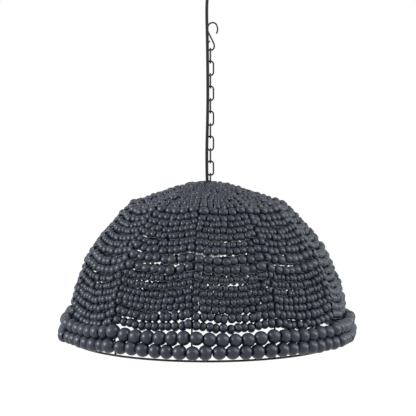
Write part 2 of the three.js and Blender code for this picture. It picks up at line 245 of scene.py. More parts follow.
# Each bead takes its own tone by chance: a few are paler
BEAD_TONES = [(0, (28, 41, 59)), (0.5, (37, 50, 69)), (0.93, (47, 58, 77)), (1, (60, 65, 75))]
CLOUD_TONES = [(0.3, (120, 120, 122)), (0.7, (136, 136, 134))]
CLOUD_SHARE = 0.8
# Noises for the paint's clouds, its gloss and the wood's grain: features to the metre, detail and stretch
CLOUD_NOISE = (90, 4)
GLOSS_NOISE = (260, 3)
GRAIN_NOISE = (700, 4, (1, 1, 0.35))


def bead_paint():
    """Charcoal paint on turned wood: each bead differs a little, with faint grain and worn spots."""
    made = Surface("bead_paint", (37, 50, 69), 0.42)
    each = made.node("ShaderNodeNewGeometry").outputs["Random Per Island"]
    cloud = made.ramp(made.noise(*CLOUD_NOISE), CLOUD_TONES)
    painted = made.mix(CLOUD_SHARE, made.ramp(each, BEAD_TONES), cloud, "OVERLAY")
    for place, radius, strength in WORN:
        painted = made.mix(made.spot(place, radius, strength), painted, linear(*BARE_WOOD))
    made.colour_from(painted)
    made.roughness_from(made.noise(*GLOSS_NOISE), low=0.34, high=0.5)
    made.bump(made.noise(*GRAIN_NOISE), strength=0.16, distance=0.0004)
    return made.material


def plain(name, colour, roughness, tones, tone_noise, gloss, gloss_noise, grain=None, coat=0.0, **shader):
    """A plain surface: noise takes it between two tones and between two roughnesses, and grain raises it.

    A noise is its features to the metre, detail and stretch, and grain is a noise, its strength and depth.
    """
    made = Surface(name, colour, roughness, **shader)
    made.shader.inputs["Coat Weight"].default_value = coat
    made.colour_from(made.ramp(made.noise(*tone_noise), tones))
    made.roughness_from(made.noise(*gloss_noise), *gloss)
    if grain:
        noise, strength, depth = grain
        made.bump(made.noise(*noise), strength, depth)
    return made.material


MATERIALS = {
    "bead_paint": bead_paint(),
    "black_metal": plain(
        "black_enamel", (20, 20, 25), 0.42, specular=0.4,
        tones=[(0.3, (14, 14, 19)), (0.75, (29, 29, 34))], tone_noise=(160, 4),
        gloss=(0.34, 0.56), gloss_noise=(420, 3), grain=((900, 3), 0.12, 0.0002),
    ),
    "black_plastic": plain(
        "black_plastic", (30, 30, 33), 0.5,
        tones=[(0.3, (27, 27, 30)), (0.7, (35, 35, 38))], tone_noise=(220, 2),
        gloss=(0.44, 0.58), gloss_noise=(800, 2), grain=((2200, 2), 0.1, 0.0001),
    ),
    "cord_cover": plain(
        "cord_cover", (16, 15, 20), 0.6, specular=0.25,
        tones=[(0.3, (11, 10, 15)), (0.7, (22, 21, 26))], tone_noise=(300, 3, (1, 1, 0.2)),
        gloss=(0.52, 0.68), gloss_noise=(500, 3), grain=((1500, 3, (1, 1, 0.3)), 0.15, 0.0002),
    ),
    "lacing_steel": plain(
        "lacing_steel", (34, 35, 40), 0.45, metallic=0.3,
        tones=[(0.3, (29, 30, 35)), (0.7, (41, 42, 47))], tone_noise=(240, 3),
        gloss=(0.35, 0.55), gloss_noise=(600, 2),
    ),
    "brass": plain(
        "yellow_brass", (186, 150, 92), 0.32, metallic=1.0,
        tones=[(0.3, (170, 134, 78)), (0.7, (196, 160, 102))], tone_noise=(180, 3),
        gloss=(0.24, 0.42), gloss_noise=(700, 3),
    ),
    "bulb_cap_metal": plain(
        "bulb_metal", (196, 196, 192), 0.3, metallic=1.0,
        tones=[(0.3, (182, 182, 178)), (0.7, (206, 206, 202))], tone_noise=(150, 3),
        gloss=(0.22, 0.4), gloss_noise=(500, 3),
    ),
    "frosted_glass": plain(
        "opal_glass", (240, 237, 229), 0.25, coat=0.5,
        tones=[(0.3, (236, 232, 223)), (0.7, (243, 241, 235))], tone_noise=(30, 2),
        gloss=(0.2, 0.3), gloss_noise=(200, 2),
    ),
}
for row in frame["record"]["subparts"]:
    node = frame["nodes"][row["node"]]
    node.data.materials.clear()
    node.data.materials.append(MATERIALS[row["material_slot"]])


# Meshes

# A rounded corner takes at most a side's length over this, at each end of the side
CORNER_LIMIT = 2.1
CORNER_STEPS = 3
# A nut's round faces as a share of its width over its corners, and its bevels as a share of its height
NUT_FACE_SHARE = 0.93
NUT_BEVEL_SHARE = 0.14
NUT_SIDES = 48
# Closer to the axis than this is on it, and a vector shorter than that has no direction
ON_AXIS = 1e-9
NO_LENGTH = 1e-12


def heights(node):
    """The lowest and highest z of a solid."""
    low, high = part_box(node)
    return low.z, high.z


def unit(vectors):
    """Vectors brought to length 1."""
    return vectors / np.maximum(np.linalg.norm(vectors, axis=-1, keepdims=True), NO_LENGTH)


def add_piece(name, points, faces, slot, body, replaces=(), material=None):
    """A smooth mesh piece, placed as the solids are. It rides on a body and stands for some nodes."""
    mesh = bpy.data.meshes.new(name)
    mesh.from_pydata(np.asarray(points).tolist(), [], [list(map(int, face)) for face in faces])
    mesh.polygons.foreach_set("use_smooth", [True] * len(mesh.polygons))
    mesh.materials.append(MATERIALS[material or slot])
    mesh.update()
    made = bpy.data.objects.new(name, mesh)
    scene.collection.objects.link(made)
    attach(made, body)
    if replaces:
        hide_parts(*replaces)
    return made


def sweep(path, radii, outward, sides, closed=False):
    """Points and faces of a round tube along a path. Its seam lies outward: one vector, or one a point."""
    path = np.asarray(path, float)
    count = len(path)
    radii = np.broadcast_to(np.asarray(radii, float), (count,))
    if closed:
        along = unit(np.roll(path, -1, 0) - np.roll(path, 1, 0))
    else:
        along = unit(np.gradient(path, axis=0))
    across = unit(np.cross(np.broadcast_to(outward, path.shape), along))
    out = np.cross(along, across)
    turn = np.linspace(0, 2 * math.pi, sides, endpoint=False)
    points = (
        path[:, None]
        + radii[:, None, None] * np.cos(turn)[None, :, None] * out[:, None]
        + radii[:, None, None] * np.sin(turn)[None, :, None] * across[:, None]
    ).reshape(-1, 3)
    faces = []
    for i in range(count if closed else count - 1):
        here, there = i * sides, (i + 1) % count * sides
        for k in range(sides):
            after = (k + 1) % sides
            faces.append((here + k, there + k, there + after, here + after))
    if not closed:
        faces.append(tuple(range(sides)))
        faces.append(tuple(reversed(range((count - 1) * sides, count * sides))))
    return points, faces


def join(parts):
    """Several (points, faces) as one."""
    points, faces, start = [], [], 0
    for some_points, some_faces in parts:
        points.append(np.asarray(some_points))
        faces += [tuple(index + start for index in face) for face in some_faces]
        start += len(some_points)
    return np.concatenate(points), faces


def turn_profile(profile, sides):
    """Points and faces of a piece turned about +Z. A profile that ends on the axis closes there."""
    points, rings, faces = [], [], []
    turn = np.linspace(0, 2 * math.pi, sides, endpoint=False)
    for radius, height in profile:
        if radius < ON_AXIS:
            rings.append([len(points)] * sides)
            points.append((0, 0, height))
        else:
            rings.append(list(range(len(points), len(points) + sides)))
            points += [(radius * math.cos(t), radius * math.sin(t), height) for t in turn]
    if profile[0][0] > ON_AXIS:
        rings.append(rings[0])
    for low, high in zip(rings, rings[1:]):
        for k in range(sides):
            after = (k + 1) % sides
            face = list(dict.fromkeys((low[k], low[after], high[after], high[k])))
            if len(face) > 2:
                faces.append(tuple(face))
    return np.array(points), faces


def eased(profile, radius, closed):
    """A profile with its corners rounded. The ends of an open one stay as they are."""
    corners = [np.array(corner, float) for corner in profile]
    made = [] if closed else [corners[0]]
    for i in range(len(corners) if closed else len(corners) - 2):
        before, corner, after = (corners[(i + k - closed) % len(corners)] for k in range(3))
        into, onwards = before - corner, after - corner
        reach = min(radius, np.linalg.norm(into) / CORNER_LIMIT, np.linalg.norm(onwards) / CORNER_LIMIT)
        start, end = corner + unit(into) * reach, corner + unit(onwards) * reach
        for t in np.linspace(0, 1, CORNER_STEPS + 1):
            made.append((1 - t) ** 2 * start + 2 * t * (1 - t) * corner + t * t * end)
    return [tuple(point) for point in made + ([] if closed else [corners[-1]])]


def hexagon_nut(bore, radius, low, high, centre):
    """Points and faces of a hexagon nut round an upright line, its corners turned down at both faces."""
    turn = np.linspace(0, 2 * math.pi, NUT_SIDES, endpoint=False)
    sixth = math.pi / 3
    flat = radius * math.cos(sixth / 2) / np.cos(turn % sixth - sixth / 2)
    trimmed = np.minimum(flat, radius * NUT_FACE_SHARE)
    bevel = (high - low) * NUT_BEVEL_SHARE
    levels = [
        (trimmed, low), (flat, low + bevel), (flat, high - bevel), (trimmed, high),
        (np.full(NUT_SIDES, bore), high), (np.full(NUT_SIDES, bore), low),
    ]
    points = np.concatenate([
        np.stack([centre[0] + r * np.cos(turn), centre[1] + r * np.sin(turn), np.full(NUT_SIDES, z)], -1)
        for r, z in levels
    ])
    faces = []
    for i in range(len(levels)):
        here, there = i * NUT_SIDES, (i + 1) % len(levels) * NUT_SIDES
        for k in range(NUT_SIDES):
            after = (k + 1) % NUT_SIDES
            faces.append((here + k, here + after, there + after, there + k))
    return points, faces


def smooth_path(points, steps):
    """A Catmull-Rom curve through given points, with this many steps between each two."""
    points = np.asarray(points, float)
    ends = np.vstack([2 * points[0] - points[1], points, 2 * points[-1] - points[-2]])
    made = []
    for i in range(1, len(ends) - 2):
        a, b, c, d = ends[i - 1:i + 3]
        for t in np.arange(steps) / steps:
            made.append(0.5 * (2 * b + (c - a) * t + (2 * a - 5 * b + 4 * c - d) * t ** 2
                               + (3 * b - a - 3 * c + d) * t ** 3))
    return np.array(made + [points[-1]])


# Cord: its route is the one in the solids, as shares of its drop, and millimetres to the right and back

CORD_DIAMETER = 0.0076
CORD_SIDES = 20
CORD_STEPS = 6
# The last stretch of the cord, which moves with the crown alone
CORD_HELD = 0.002
CORD_ROUTE = [
    (0, 0, 0), (0.02, 0, 0), (0.06, -0.9, 0), (0.12, -0.9, -0.1), (0.20, -0.1, -0.3), (0.28, 0.6, -0.4),
    (0.36, 1.1, -0.5), (0.44, 1.4, -0.6), (0.52, 1.5, -0.6), (0.60, 1.1, -0.5), (0.68, 0.4, -0.4),
    (0.76, -0.6, -0.3), (0.83, -1.0, -0.2), (0.90, -0.8, -0.1), (0.95, -0.2, 0), (0.98, 0, 0), (1, 0, 0),
]


def add_cord():
    """The supply cord hangs from its grip beside the chain, and bends with the chain's links."""
    low, high = heights("supply_cord")
    route = [(x / 1000, y / 1000, high + share * (low - high)) for share, x, y in CORD_ROUTE]
    path = smooth_path(route, CORD_STEPS)
    points, faces = sweep(path, CORD_DIAMETER / 2, BACK, CORD_SIDES)
    cord = add_piece("power_cord", points, faces, "cord_cover", "root", ["supply_cord"])
    bend_with_chain(cord, points, low + CORD_HELD)


def bend_with_chain(cord, points, end):
    """Bones at the middles of the links, in step with them. A point's weight passes from bone to bone."""
    bodies = ["root", *(f"chain_link_{n:02d}" for n in range(1, LINKS + 1)), "shade"]
    data = bpy.data.armatures.new("cord_bones")
    rig = bpy.data.objects.new("cord_bones", data)
    scene.collection.objects.link(rig)
    bpy.context.view_layer.objects.active = rig
    bpy.ops.object.mode_set(mode="EDIT")
    levels = np.array([*(HOOK_BOTTOM + (0.5 - n) * LINK_PITCH for n in range(LINKS + 1)), end])
    for body, height in zip(bodies, levels):
        bone = data.edit_bones.new(body)
        bone.head, bone.tail = (0, 0, height), (0, 0, height - LINK_PITCH / 2)
    bpy.ops.object.mode_set(mode="OBJECT")
    for body in bodies:
        follow = rig.pose.bones[body].constraints.new("CHILD_OF")
        follow.target = frame["bodies"][body]
        follow.inverse_matrix.identity()
    place = np.interp(-points[:, 2], -levels, np.arange(len(bodies)))
    for i, body in enumerate(bodies):
        group = cord.vertex_groups.new(name=body)
        weights = np.clip(1 - np.abs(place - i), 0, 1)
        for index in np.flatnonzero(weights > 0):
            group.add([int(index)], float(weights[index]), "REPLACE")
    modifier = cord.modifiers.new("bend", "ARMATURE")
    modifier.object = rig


add_cord()


# Chain and hook

# The hook's line, to the right of the chain and up, as shares of its rise
HOOK_SHARES = [
    (0.216, 0.600), (0.252, 0.696), (0.255, 0.824), (0.196, 0.952), (0.077, 1.000), (-0.044, 0.947),
    (-0.101, 0.816), (-0.083, 0.672), (0.007, 0.480), (0.104, 0.285), (0.142, 0.156), (0.101, 0.044),
    (0, 0), (-0.086, 0.047), (-0.110, 0.156), (-0.083, 0.267), (-0.024, 0.344),
]
HOOK_STEPS = 8
HOOK_SIDES = 18
# The wire's cut ends keep this share of its thickness
CUT_END_SHARE = 0.75
LINK_SIDES = 16
BEND_STEPS = 15
SIDE_STOPS = [0.2, 0.4, 0.47, 0.5, 0.53, 0.6, 0.8]
# A link's weld is in the middle of one straight side: its reach along that side, and how far it swells
WELD_REACH_SHARE = 0.045
WELD_SWELL_SHARE = 0.1


def add_hook():
    """Bent wire, with its cut ends eased."""
    points = [(CHAIN_X + u * HOOK_RISE, CHAIN_Y, HOOK_BOTTOM + w * HOOK_RISE) for u, w in HOOK_SHARES]
    path = smooth_path(points, HOOK_STEPS)
    radii = np.full(len(path), LINK_WIRE / 2)
    radii[[0, -1]] *= CUT_END_SHARE
    add_piece("wire_hook", *sweep(path, radii, BACK, HOOK_SIDES), "black_metal", "root", ["s_hook"])


def add_links():
    """Each link is bent wire with a weld in one straight side, and stands a quarter turn from the next."""
    bend = (LINK_WIDTH - LINK_WIRE) / 2
    straight = (LINK_LENGTH - LINK_WIDTH) / 2
    half_turn = np.linspace(0, math.pi, BEND_STEPS)
    for n in range(LINKS):
        path, weld = [], []
        for side in (1, -1):
            path += [(side * bend * math.cos(t), side * (straight + bend * math.sin(t))) for t in half_turn]
            weld += [0.0] * len(half_turn)
            for share in SIDE_STOPS:
                path.append((-side * bend, side * straight * (1 - 2 * share)))
                weld.append(math.exp(-((share - 0.5) / WELD_REACH_SHARE) ** 2) if side > 0 else 0.0)
        flat = np.array(path)
        middle = HOOK_BOTTOM + LINK_WIRE + GAP - (LINK_LENGTH - LINK_WIRE) / 2 - n * LINK_PITCH
        face_on = n % 2 == 1
        ring = np.zeros((len(flat), 3))
        ring[:, 0 if face_on else 1] = flat[:, 0]
        ring[:, 2] = flat[:, 1]
        ring += (CHAIN_X, CHAIN_Y, middle)
        radii = LINK_WIRE / 2 * (1 + WELD_SWELL_SHARE * np.array(weld))
        name = f"chain_link_{n + 1:02d}"
        outward = BACK if face_on else RIGHT
        points, faces = sweep(ring, radii, outward, LINK_SIDES, closed=True)
        add_piece("wire_" + name, points, faces, "black_metal", name, [name])


add_hook()
add_links()


# Dome frame: each rib's foot swells a little where it is welded to the ring

RING_STEPS = 240
RING_SIDES = 14
RIB_STEPS = 60
RIB_SIDES = 12
TABLE_STEPS = 400
FOOT_REACH = 0.002
FOOT_SWELL_SHARE = 0.25


def rib_table():
    """The rib's length, and at each step up it: the share of that length, radius and height, and slope."""
    t = np.linspace(0, 1, TABLE_STEPS + 1)[:, None]
    p0, p1, p2, p3 = (np.array(handle, float) for handle in RIB_HANDLES)
    places = (1 - t) ** 3 * p0 + 3 * t * (1 - t) ** 2 * p1 + 3 * t ** 2 * (1 - t) * p2 + t ** 3 * p3
    length = np.concatenate([[0], np.cumsum(np.linalg.norm(np.diff(places, axis=0), axis=1))])
    return length[-1], length / length[-1], places, unit(np.gradient(places, axis=0))


RIB_LENGTH, RIB_SHARES, RIB_PLACES, RIB_SLOPES = rib_table()


def dome_point(turn, share, stand_off=0.0, radius_share=1.0):
    """Places on the dome by their turn about the axis and share up the rib, and the way out there."""
    share = np.asarray(share, float)
    radius, height = (np.interp(share, RIB_SHARES, RIB_PLACES[:, i]) for i in (0, 1))
    out, up = (np.interp(share, RIB_SHARES, RIB_SLOPES[:, i]) for i in (0, 1))
    wide = (radius + stand_off * up) * radius_share
    place = np.stack([wide * np.sin(turn), -wide * np.cos(turn), RING_Z + height - stand_off * out], -1)
    outward = np.stack([up * np.sin(turn), -up * np.cos(turn), -out], -1)
    return place, outward


def rib_turn(n):
    """A rib's angle about the axis, from the front towards the right."""
    return FIRST_RIB + n * PANEL


def add_frame():
    """The ring at the rim, and the ribs from it to the crown."""
    turn = np.linspace(0, 2 * math.pi, RING_STEPS, endpoint=False)
    level = np.full(RING_STEPS, RING_Z)
    ring = np.stack([RING_RADIUS * np.sin(turn), -RING_RADIUS * np.cos(turn), level], -1)
    points, faces = sweep(ring, RING_ROD / 2, UP, RING_SIDES, closed=True)
    add_piece("rim_ring", points, faces, "black_metal", "shade", ["bottom_ring"])
    foot = (RING_ROD / 2 + GAP) / RIB_LENGTH
    for n in range(RIBS):
        side = np.array([math.cos(rib_turn(n)), math.sin(rib_turn(n)), 0])
        share = np.linspace(foot, 1, RIB_STEPS)
        path, _ = dome_point(np.full(RIB_STEPS, rib_turn(n)), share)
        from_foot = (share - foot) * RIB_LENGTH
        radii = RIB_ROD / 2 * (1 + FOOT_SWELL_SHARE * np.exp(-(from_foot / FOOT_REACH) ** 2))
        points, faces = sweep(path, radii, side, RIB_SIDES)
        add_piece(f"dome_rib_{n + 1:02d}", points, faces, "black_metal", "shade", [f"rib_{n + 1:02d}"])


add_frame()


# Beads: what each kind measures along its string and across, and the rows up the rib by length share

LARGE = (0.0290, 0.0330)
MEDIUM = (0.0200, 0.0234)
MIDDLING = (0.0170, 0.0208)
ROUND = (0.0162, 0.0226)
PLAIN = (0.0144, 0.0194)
SMALL = (0.0138, 0.0182)
FINE = (0.0114, 0.0164)
CROWN = (0.0160, 0.0170)
ROW_SHARES = [
    (0.0455, LARGE), (0.0995, LARGE),
    (0.153, ROUND), (0.189, ROUND), (0.224, PLAIN), (0.254, PLAIN),
    (0.286, FINE), (0.317, FINE), (0.350, FINE),
    (0.388, MEDIUM), (0.431, MEDIUM), (0.475, MIDDLING),
    (0.508, SMALL), (0.543, SMALL), (0.576, SMALL), (0.611, SMALL),
    (0.644, MIDDLING), (0.684, MEDIUM), (0.719, MIDDLING),
    (0.752, SMALL), (0.782, SMALL), (0.812, SMALL),
    (0.842, CROWN), (0.872, CROWN), (0.901, CROWN),
    (0.929, CROWN), (0.957, CROWN), (0.985, CROWN),
]
# Between two ribs a panel's rows sag by a share of their width, and half way up they lie higher by a share
# of the rib's length
SAG_SHARES = [0.054, 0.064, 0.090, 0.084, 0.064, 0.056, 0.060, 0.070, 0.090, 0.100, 0.066]
RISE_SHARES = [0, -0.006, 0.004, 0.009, -0.004, 0.006, 0.005, -0.003, 0.008, -0.006, 0.010]
RIM_SAG_SHARES = [0.006, 0.030]
# How far the two rim rows hang below their height at each rib
RIM_DROPS = [0.0010, 0.0005, 0.005, 0.006, 0.003, 0, 0, 0.002, 0.005, 0.002, -0.001]
# Between two ribs a row comes in from the dome's round by this share of the way to a straight line
CHORD_SHARE = 0.5
RIM_CHORD_SHARE = 0.3
# The rim rows stand off the ribs and start this share of a bead past the first rib
STAND_OFFS = [0.0188, 0.0132]
RIM_STARTS = [0.65, 0.90]
RIM_ROWS = len(STAND_OFFS)
# The others stand off by their share up the rib. All stand off a little more where they pass over a rib
STAND_OFF_STOPS = [(0.60, 0), (0.69, 0.004), (0.76, -0.003), (0.86, -0.008), (0.93, -0.006), (1, -0.002)]
OVER_RIB = 0.004
OVER_RIB_REACH = 0.012
# A row ends this far from its rib, and by chance its beads stray from their place
END_GAP = 0.0008
STRAY = 0.0011
RIM_STRAY = 0.0006
# The lacing wire's diameter
LACING = 0.0014
# How much beads differ in length, across and in tilt by chance, and how much of its place each one fills
LENGTH_SPREAD = 0.09
RIM_LENGTH_SPREAD = 0.05
RADIUS_SPREAD = 0.06
TILT_SPREAD = 0.09
FILLED_SHARE = 0.99
# The angle from the string at which a bead is cut flat, and its sides and rings
SMALL_FORM = (math.radians(37), 12, 7)
LARGE_FORM = (math.radians(28), 24, 13)
# The drilled hole as a share of the flat end, and from its floor out: its widening, and how far along it is
HOLE_SHARE = 0.7
HOLE_STOPS = [(0, 0.8), (1, 0.84), (1.1, 0.99)]
ROW_STEPS = 121
LACING_STEPS = 13
LACING_SIDES = 5
# By chance a row sags more or less than its neighbours, and lies a little higher or lower
SAG_SPREAD = 0.10
LIFT_SPREAD = 0.0007
ROW_SEED, RIM_SEED, PANEL_SEED = 11, 40, 100
CHANCE = np.random.default_rng(ROW_SEED)
SAG_CHANCE = 1 + SAG_SPREAD * CHANCE.standard_normal((RIBS, len(ROW_SHARES)))
LIFT_CHANCE = LIFT_SPREAD * CHANCE.standard_normal((RIBS, len(ROW_SHARES)))


def bead_profile(edge, steps):
    """A turned bead of unit radius and half length: a ball cut flat at each end, with a drilled hole."""
    angles = np.linspace(edge, math.pi - edge, steps + 1)
    ball = [(math.sin(a), math.cos(a) / math.cos(edge)) for a in angles]
    rim = HOLE_SHARE * math.sin(edge)
    hole = [(widening * rim, place) for widening, place in HOLE_STOPS]
    return [*hole, *ball, *((r, -a) for r, a in reversed(hole))]


def unit_bead(edge, sides, steps):
    """A bead's points as (along the string, out, across), and its faces."""
    points, faces = turn_profile(bead_profile(edge, steps)[::-1], sides)
    return points[:, [2, 0, 1]], faces


def bead_field(form, places, along, outward, half_lengths, radii, random):
    """Many beads as one mesh: each is set on its string, turned and tipped a little by chance."""
    form_points, form_faces = form
    along = unit(along + TILT_SPREAD * random.standard_normal(along.shape))
    across = unit(np.cross(along, outward))
    out = np.cross(across, along)
    spin = random.uniform(0, 2 * math.pi, len(places))[:, None]
    turned_out = np.cos(spin) * out + np.sin(spin) * across
    turned_across = np.cos(spin) * across - np.sin(spin) * out
    points = (
        places[:, None]
        + (half_lengths[:, None] * along)[:, None] * form_points[None, :, :1]
        + (radii[:, None] * turned_out)[:, None] * form_points[None, :, 1:2]
        + (radii[:, None] * turned_across)[:, None] * form_points[None, :, 2:]
    ).reshape(-1, 3)
    size = len(form_points)
    faces = [tuple(i * size + k for k in face) for i in range(len(places)) for face in form_faces]
    return points, faces


def row_curve(panel, row, across):
    """Places along a row, from the left rib to the right one, and the way out of the dome there."""
    rim = row < RIM_ROWS
    share = ROW_SHARES[row][0]
    share += RISE_SHARES[panel] * math.sin(math.pi * share)
    width = 2 * np.interp(share, RIB_SHARES, RIB_PLACES[:, 0]) * math.sin(PANEL / 2)
    if rim:
        sag = RIM_SAG_SHARES[row] * width
        drop = np.interp(panel + across, np.arange(RIBS + 1), RIM_DROPS + RIM_DROPS[:1])
    else:
        sag = SAG_SHARES[panel] * SAG_CHANCE[panel, row] * width
        drop = LIFT_CHANCE[panel, row]
    lower = share - (4 * sag * across * (1 - across) + drop) / RIB_LENGTH
    turn = rib_turn(panel) + across * PANEL
    straight = math.cos(PANEL / 2) / np.cos((across - 0.5) * PANEL)
    inward = (RIM_CHORD_SHARE if rim else CHORD_SHARE) * (1 - straight)
    from_rib = np.minimum(across, 1 - across) * width
    over = OVER_RIB * np.exp(-(from_rib / OVER_RIB_REACH) ** 2)
    stand_off = STAND_OFFS[row] if rim else np.interp(share, *zip(*STAND_OFF_STOPS))
    return dome_point(turn, lower, stand_off + over, 1 - inward)


def rim_stops(row):
    """Middles and lengths of a rim row's beads, in panels from the first rib on. It runs over the ribs."""
    share, (length, _) = ROW_SHARES[row]
    radius = np.interp(share, RIB_SHARES, RIB_PLACES[:, 0]) + STAND_OFFS[row]
    count = round(2 * math.pi * radius / length)
    random = np.random.default_rng(RIM_SEED + row)
    lengths = 1 + random.uniform(-RIM_LENGTH_SPREAD, RIM_LENGTH_SPREAD, count)
    lengths *= RIBS / lengths.sum()
    return (RIM_STARTS[row] * RIBS / count + np.cumsum(lengths) - lengths / 2) % RIBS, lengths


def row_beads(panel, row, random):
    """Where each bead of a row sits: place, string direction, way out, half length and radius."""
    length, diameter = ROW_SHARES[row][1]
    path, outward = row_curve(panel, row, np.linspace(0, 1, ROW_STEPS))
    travelled = np.concatenate([[0], np.cumsum(np.linalg.norm(np.diff(path, axis=0), axis=1))])
    if row < RIM_ROWS:
        at, lengths = rim_stops(row)
        here = (at >= panel) & (at < panel + 1)
        middles, lengths = (at[here] - panel) * travelled[-1], lengths[here] * travelled[-1]
    else:
        free = travelled[-1] - 2 * END_GAP
        lengths = 1 + random.uniform(-LENGTH_SPREAD, LENGTH_SPREAD, max(1, round(free / length)))
        lengths *= free / lengths.sum()
        middles = END_GAP + np.cumsum(lengths) - lengths / 2
    count = len(middles)

    def follow(stops, values):
        return np.stack([np.interp(stops, travelled, values[:, i]) for i in range(3)], -1)

    stray = RIM_STRAY if row < RIM_ROWS else STRAY
    place = follow(middles, path) + stray * random.standard_normal((count, 3))
    reach = lengths / 3
    along = unit(follow(middles + reach, path) - follow(middles - reach, path))
    radii = diameter / 2 * (1 + random.uniform(-RADIUS_SPREAD, RADIUS_SPREAD, count))
    return place, along, unit(follow(middles, outward)), lengths * FILLED_SHARE / 2, radii


def add_beads():
    """One piece for each panel, with every bead of its rows, and the wires that they are laced on."""
    small_form, large_form = unit_bead(*SMALL_FORM), unit_bead(*LARGE_FORM)
    wires = []
    for panel in range(RIBS):
        random = np.random.default_rng(PANEL_SEED + panel)
        small, large = [], []
        for row in range(len(ROW_SHARES)):
            (large if row < RIM_ROWS else small).append(row_beads(panel, row, random))
            path, outward = row_curve(panel, row, np.linspace(0, 1, LACING_STEPS))
            wires.append(sweep(path, LACING / 2, outward, LACING_SIDES))
        points, faces = join([
            bead_field(form, *(np.concatenate(column) for column in zip(*rows)), random)
            for form, rows in ((large_form, large), (small_form, small))
        ])
        name = f"{panel + 1:02d}"
        add_piece("beads_" + name, points, faces, "bead_paint", "shade", ["bead_panel_" + name])
    add_piece("lacing_wires", *join(wires), "black_metal", "shade", material="lacing_steel")


add_beads()


# Crown, lamp and ceiling fitting: turned pieces and nuts, at the heights of their solids.
# A size is a radius where its name says nothing else, and a wire's is its thickness.

BORE = 0.0053
STEM = 0.005
STEM_BORE = 0.0034
NUT = 0.0076
EASE = 0.0005
TURNED_SIDES = 48
RIDGE_STEPS = 8


def disc(radius, low, high):
    """The profile of a plain round piece, solid to its axis."""
    return [(0, low), (radius, low), (radius, high), (0, high)]


def pipe(bore, radius, low, high):
    """The profile of a plain pipe."""
    return [(bore, low), (radius, low), (radius, high), (bore, high)]


def ridged(outer, depth, low, high, pitch):
    """A thread's outline from low to high, as closed ridges."""
    turns = round((high - low) / pitch)
    made = []
    for share in np.linspace(0, 1, RIDGE_STEPS * turns + 1):
        wave = 0.5 + 0.5 * math.cos(2 * math.pi * turns * share)
        made.append((outer - depth * wave, low + share * (high - low)))
    return made


def add_turned(name, profile, slot, body, node, ease=EASE, sides=TURNED_SIDES):
    """A turned piece in place of a node. A profile that starts on the axis is open, any other is closed."""
    closed = profile[0][0] > 0
    add_piece(name, *turn_profile(eased(profile, ease, closed), sides), slot, body, [node])


def add_nut(node, slot, body, bore=BORE, radius=NUT, centre=(0, 0)):
    """A hexagon nut in place of a node."""
    add_piece("hexagon_" + node, *hexagon_nut(bore, radius, *heights(node), centre), slot, body, [node])


# Crown. The eye is bent from wire: its shank is straight up to a little below the bend, and the bend stops
# short of a whole turn

COLLAR_BORE = 0.0222
EYE_WIRE = 0.0032
EYE_BORE = 0.005
EYE_END = 1.42 * math.pi
EYE_BEND_GAP = 0.002
EYE_SIDES = 14
LOOP_STEPS = 40
SHANK_STEPS = 5
EYE_NUT_BORE = 0.0019
EYE_NUT = 0.0036
# The bushing's radii above its base, each with how far it is under the top
BUSHING_STOPS = [(0.0048, 0.001), (0.0042, 0)]


def add_crown():
    """The collar that the ribs end on, the chain's eye, the nuts on the plate, and the cord's bushing."""
    add_turned("crown_ring", pipe(COLLAR_BORE, COLLAR_RADIUS, *heights("crown_collar")),
               "black_metal", "shade", "crown_collar")
    shank = EYE_WIRE / 2
    low, high = heights("chain_eye")
    eye = EYE_BORE + shank
    middle = high - shank - eye
    turn = np.linspace(-math.pi / 2, EYE_END, LOOP_STEPS)
    loop = [(CHAIN_X + eye * math.cos(t), CHAIN_Y, middle + eye * math.sin(t)) for t in turn]
    rise = np.linspace(low + shank, middle - eye - EYE_BEND_GAP, SHANK_STEPS)
    path = [(CHAIN_X, CHAIN_Y, z) for z in rise] + loop
    add_piece("wire_eye", *sweep(path, shank, BACK, EYE_SIDES), "black_metal", "shade", ["chain_eye"])
    add_nut("chain_eye_nut", "black_metal", "shade", EYE_NUT_BORE, EYE_NUT, (CHAIN_X, CHAIN_Y))
    add_nut("crown_nut", "black_metal", "shade")
    add_nut("crown_lock_nut", "black_metal", "shade")
    low, high = heights("cord_bushing")
    side = [(radius, high - under) for radius, under in BUSHING_STOPS]
    add_turned("grommet", [(0, low), (BUSHING_STOPS[0][0], low), *side, (0, high)],
               "black_plastic", "shade", "cord_bushing")


# Lamp: stem with its lead, and a holder with a domed cap, a grooved sleeve and a contact

LEAD = 0.0027
LEAD_EASE = 0.0003
LEAD_SIDES = 24
HOLDER = 0.020
HOLDER_WALL = 0.002
HOLDER_WAIST = 0.0125
HOLDER_DOME_HEIGHT = 0.011
SLEEVE_EASE = 0.0006
SOCKET = 0.0138
SOCKET_HOLE = 0.003
SOCKET_FLOOR = 0.004
# The starts of the sleeve's grooves as shares of its length from the top, and a groove's shares and depths
GROOVE_STARTS = [0.28, 0.62]
GROOVE_STOPS = [(0, 0), (0.03, 0.0007), (0.06, 0.0007), (0.09, 0)]
CONTACT = 0.006


